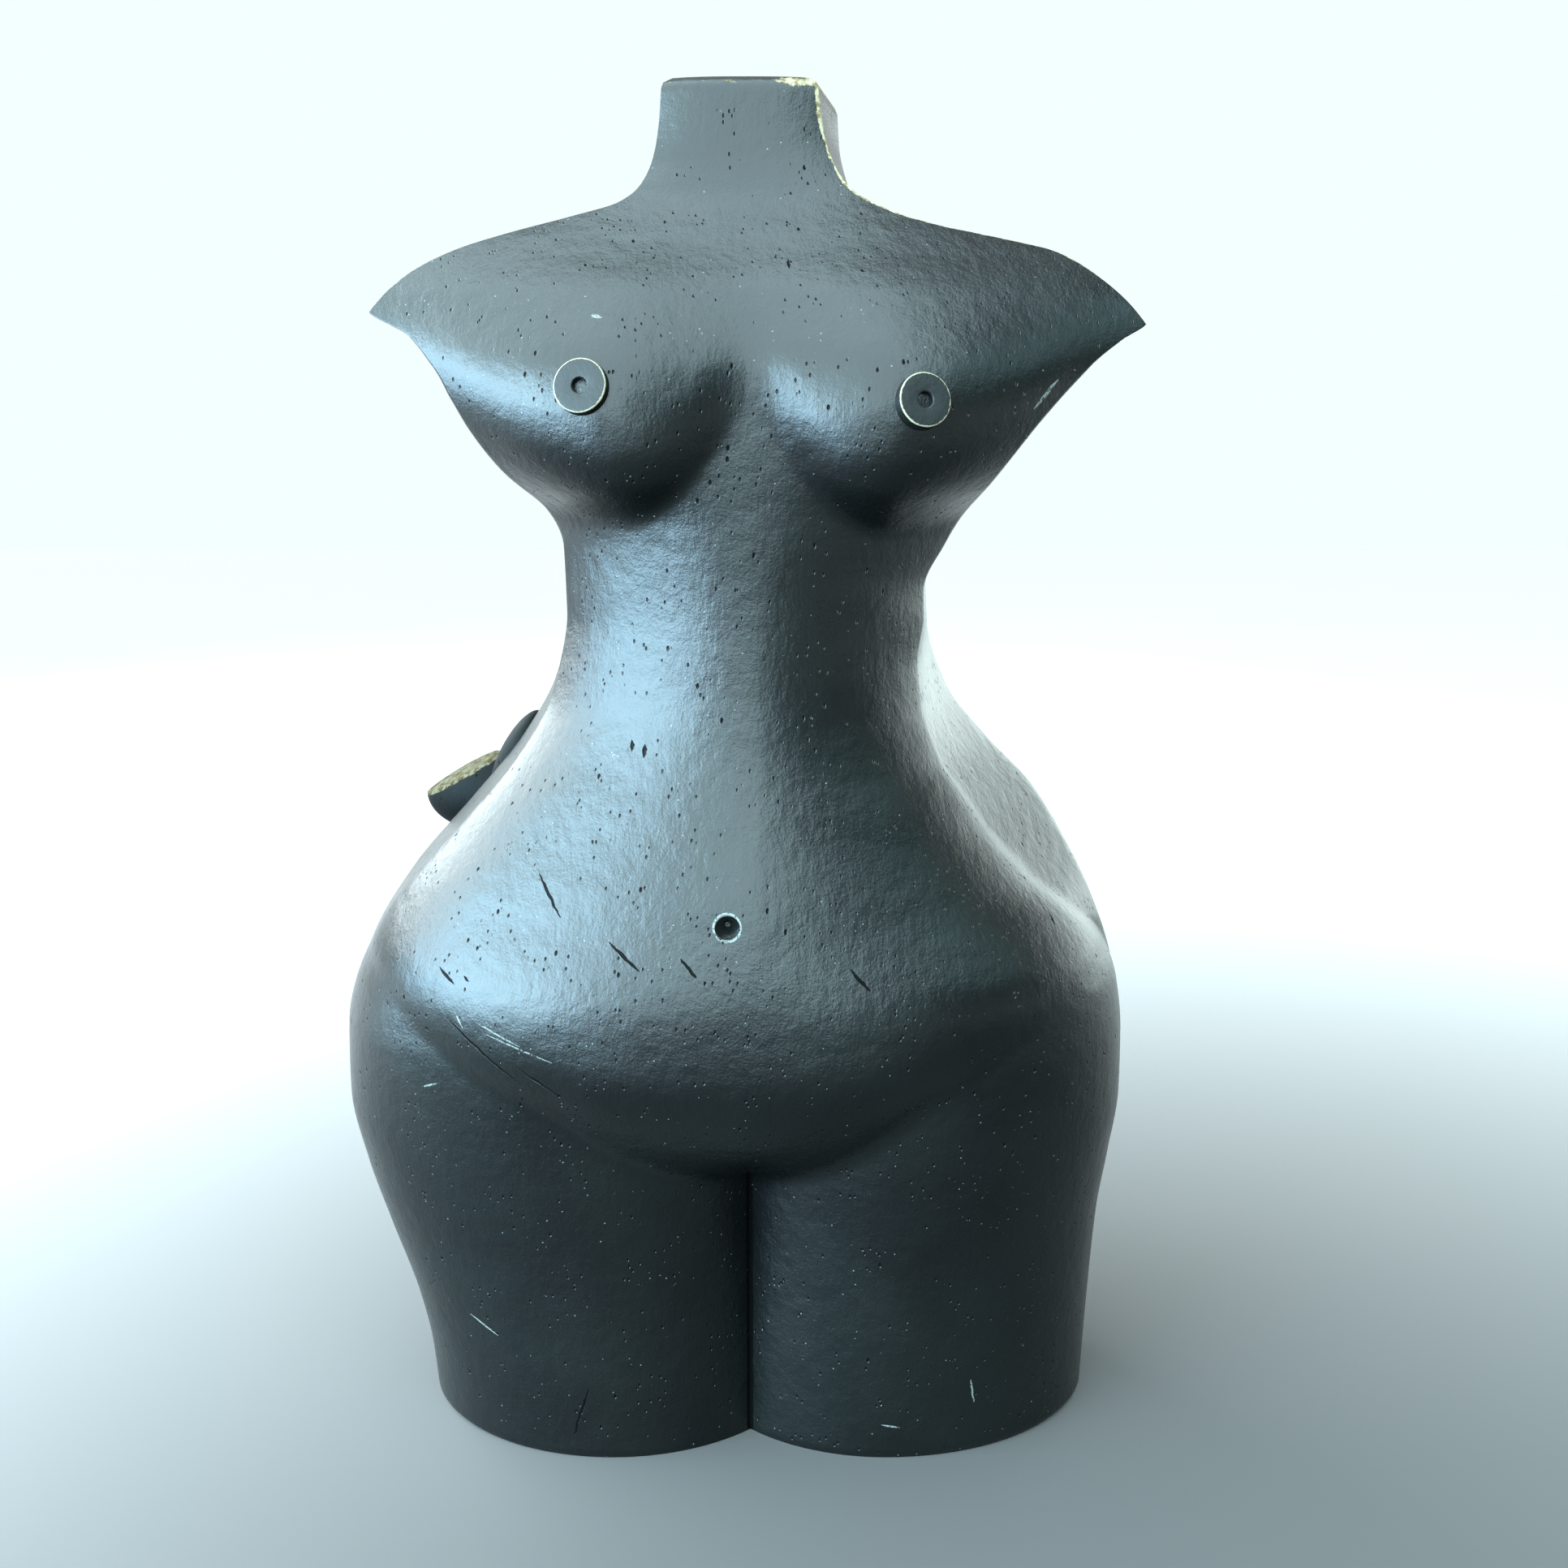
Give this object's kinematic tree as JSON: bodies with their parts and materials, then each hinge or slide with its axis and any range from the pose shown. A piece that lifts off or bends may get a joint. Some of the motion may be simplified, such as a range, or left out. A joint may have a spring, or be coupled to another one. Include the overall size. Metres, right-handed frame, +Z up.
{
  "type": "female torso sculpture",
  "caption": "Carved wooden female torso, cut off at neck, shoulders and thighs, with flat-cut thighs that it stands on.",
  "frame": {"origin": "middle of the flat underside, on the surface the torso stands on", "axes": "+Z up along the figure, -Y the way the figure faces, +X towards the figure's own left"},
  "size_m": [0.2206, 0.1353, 0.36],
  "materials": {
    "black_paint": "satin black paint over carved wood"
  },
  "bodies": {
    "root": {"torso": "black_paint"}
  },
  "joints": []
}
